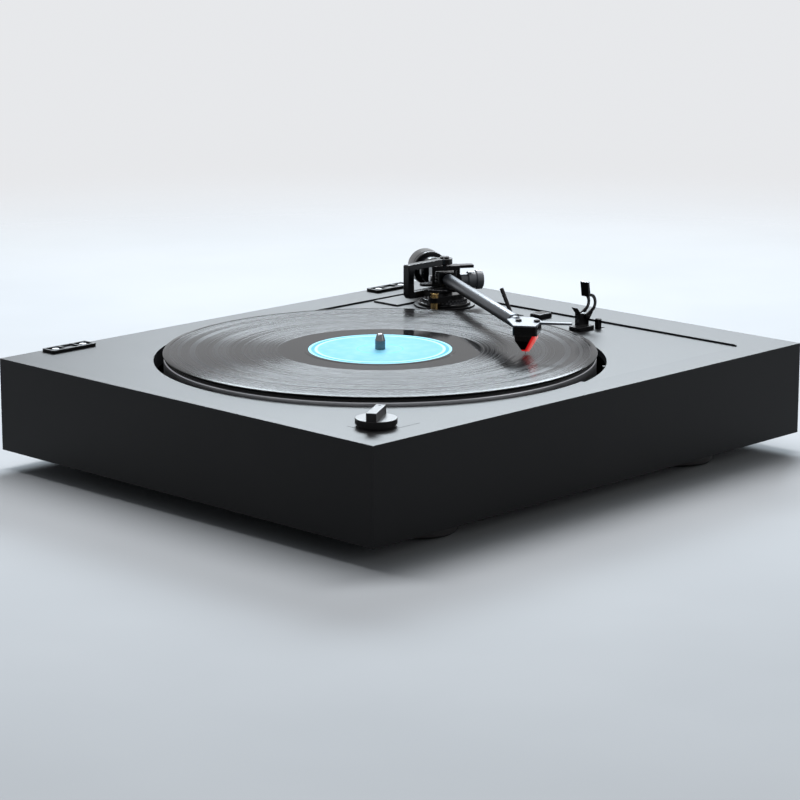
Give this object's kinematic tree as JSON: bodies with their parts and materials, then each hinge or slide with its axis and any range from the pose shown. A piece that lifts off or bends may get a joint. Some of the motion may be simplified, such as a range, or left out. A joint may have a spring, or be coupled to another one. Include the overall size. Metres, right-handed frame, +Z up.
{
  "type": "turntable record player",
  "caption": "Belt-drive turntable: black plinth, 300 mm platter with a 12-inch record, straight gimbal tonearm with counterweight, force dial, arm lift and rest, speed knob.",
  "frame": {"origin": "on the surface that the feet stand on, under the middle of the plinth", "axes": "+X right along the front, +Y to the back, +Z up"},
  "size_m": [0.43, 0.365, 0.1143],
  "materials": {
    "satin_black": "satin black anodised, fine grain",
    "black_metal": "semi-gloss",
    "black_plastic": "matt",
    "gloss_black": "gloss",
    "vinyl": "gloss, grooved",
    "label_paper": "matt paper",
    "aluminium": "satin",
    "white_metal": "satin",
    "steel": "brushed",
    "brass": "turned",
    "red_plastic": "translucent",
    "rubber": "matt",
    "board_green": "satin"
  },
  "bodies": {
    "root": {"plinth": "satin_black", "bottom_cover": "black_metal", "foot_front_left": "black_plastic", "foot_front_right": "black_plastic", "foot_rear_left": "black_plastic", "foot_rear_right": "black_plastic", "foot_pads": "rubber", "chassis_screws": "steel", "deck_plate": "satin_black", "armboard": "satin_black", "hinge_socket_left": "black_plastic", "hinge_socket_right": "black_plastic", "cheese_head_screws": "steel", "sub_chassis": "black_metal", "chassis_standoffs": "steel", "bearing_housing": "steel", "bearing_bushes": "brass", "motor": "steel", "motor_grommets": "rubber", "drive_belt": "rubber", "circuit_board": "board_green", "terminal_plate": "black_metal", "phono_sockets": "steel", "power_inlet": "black_plastic", "switches": "black_plastic", "arm_base": "black_metal", "arm_nut": "black_metal", "height_ring": "gloss_black", "arm_bracket": "black_metal", "pivot_screws": "steel", "lift_cylinder": "brass", "lift_guides": "black_plastic", "arm_rest": "black_metal"},
    "platter": {"spindle_shaft": "steel", "sub_platter": "aluminium", "platter": "aluminium", "platter_mat": "rubber", "record": "vinyl", "record_label": "label_paper"},
    "pulley": {"motor_pulley": "brass"},
    "yoke": {"arm_yoke": "aluminium", "side_pivots": "steel"},
    "arm": {"gimbal_block": "aluminium", "arm_tube": "aluminium", "headshell": "white_metal", "head_screws": "steel", "cartridge_body": "black_plastic", "stylus_unit": "red_plastic", "cantilever": "steel"},
    "weight_carrier": {"weight_carrier": "aluminium"},
    "counterweight": {"counterweight": "gloss_black"},
    "force_dial": {"force_dial": "gloss_black"},
    "lift_platform": {"lift_platform": "aluminium"},
    "lift_lever": {"lift_lever": "black_plastic"},
    "cam_strip": {"cam_strip": "black_plastic"},
    "rest_clip": {"rest_clip": "black_plastic"},
    "speed_knob": {"speed_knob": "gloss_black"},
    "start_slider": {"start_slider": "black_plastic"},
    "size_switch": {"size_switch": "black_plastic"},
    "ground_nut": {"ground_nut": "brass"}
  },
  "joints": [
    {"name": "platter_turn", "type": "hinge", "parent": "root", "child": "platter", "pos_m": [-0.0261, -0.0012, 0.06], "axis": [0, 0, 1], "continuous": true},
    {"name": "pulley_turn", "type": "hinge", "parent": "root", "child": "pulley", "pos_m": [-0.1053, 0.078, 0.055], "axis": [0, 0, 1], "continuous": true},
    {"name": "arm_swing", "type": "hinge", "parent": "root", "child": "yoke", "pos_m": [0.14651, 0.101, 0.098], "axis": [0, 0, 1], "range_deg": [-12.56, 31.79]},
    {"name": "arm_lift", "type": "hinge", "parent": "yoke", "child": "arm", "pos_m": [0.14651, 0.101, 0.098], "axis": [-0.85, 0.5268, 0], "range_deg": [0, 2.5]},
    {"name": "weight_slide", "type": "slide", "parent": "arm", "child": "weight_carrier", "axis": [-0.5267, -0.8498, 0.0175], "range_m": [-0.002, 0.006]},
    {"name": "weight_turn", "type": "hinge", "parent": "weight_carrier", "child": "counterweight", "pos_m": [0.14651, 0.101, 0.098], "axis": [-0.5267, -0.8498, 0.0175], "range_deg": [-360, 1080]},
    {"name": "force_dial_turn", "type": "hinge", "parent": "yoke", "child": "force_dial", "pos_m": [0.14651, 0.101, 0.0954], "axis": [0.85, -0.5268, 0], "range_deg": [0, 300]},
    {"name": "lift_lever_swing", "type": "hinge", "parent": "root", "child": "lift_lever", "pos_m": [0.157, 0.0372, 0.068], "axis": [1, 0, 0], "range_deg": [0, 58]},
    {"name": "cam_slide", "type": "slide", "parent": "root", "child": "cam_strip", "axis": [0, 1, 0], "range_m": [0, 0.01664]},
    {"name": "platform_slide", "type": "slide", "parent": "root", "child": "lift_platform", "axis": [0, 0, 1], "range_m": [0, 0.0014]},
    {"name": "rest_clip_swing", "type": "hinge", "parent": "root", "child": "rest_clip", "pos_m": [0.1525, -0.0343, 0.0862], "axis": [0, 1, 0], "range_deg": [-50, 0]},
    {"name": "speed_knob_turn", "type": "hinge", "parent": "root", "child": "speed_knob", "pos_m": [-0.1763, -0.1466, 0.078], "axis": [0, 0, 1], "range_deg": [-45, 45]},
    {"name": "start_slide", "type": "slide", "parent": "root", "child": "start_slider", "axis": [-1, 0, 0], "range_m": [0, 0.004]},
    {"name": "size_slide", "type": "slide", "parent": "root", "child": "size_switch", "axis": [1, 0, 0], "range_m": [0, 0.004]},
    {"name": "ground_nut_turn", "type": "hinge", "parent": "root", "child": "ground_nut", "pos_m": [-0.113, 0.173, 0.039], "axis": [0, 1, 0], "range_deg": [0, 720]}
  ],
  "couplings": [
    {"joint": "pulley_turn", "follows": "platter_turn", "ratio": 9.6822},
    {"joint": "weight_slide", "follows": "weight_turn", "m_per_rad": 0.00031831},
    {"joint": "arm_lift", "follows": "lift_lever_swing", "ratio": 0.043103},
    {"joint": "cam_slide", "follows": "lift_lever_swing", "m_per_rad": 0.016427},
    {"joint": "platform_slide", "follows": "lift_lever_swing", "m_per_rad": 0.001383}
  ]
}
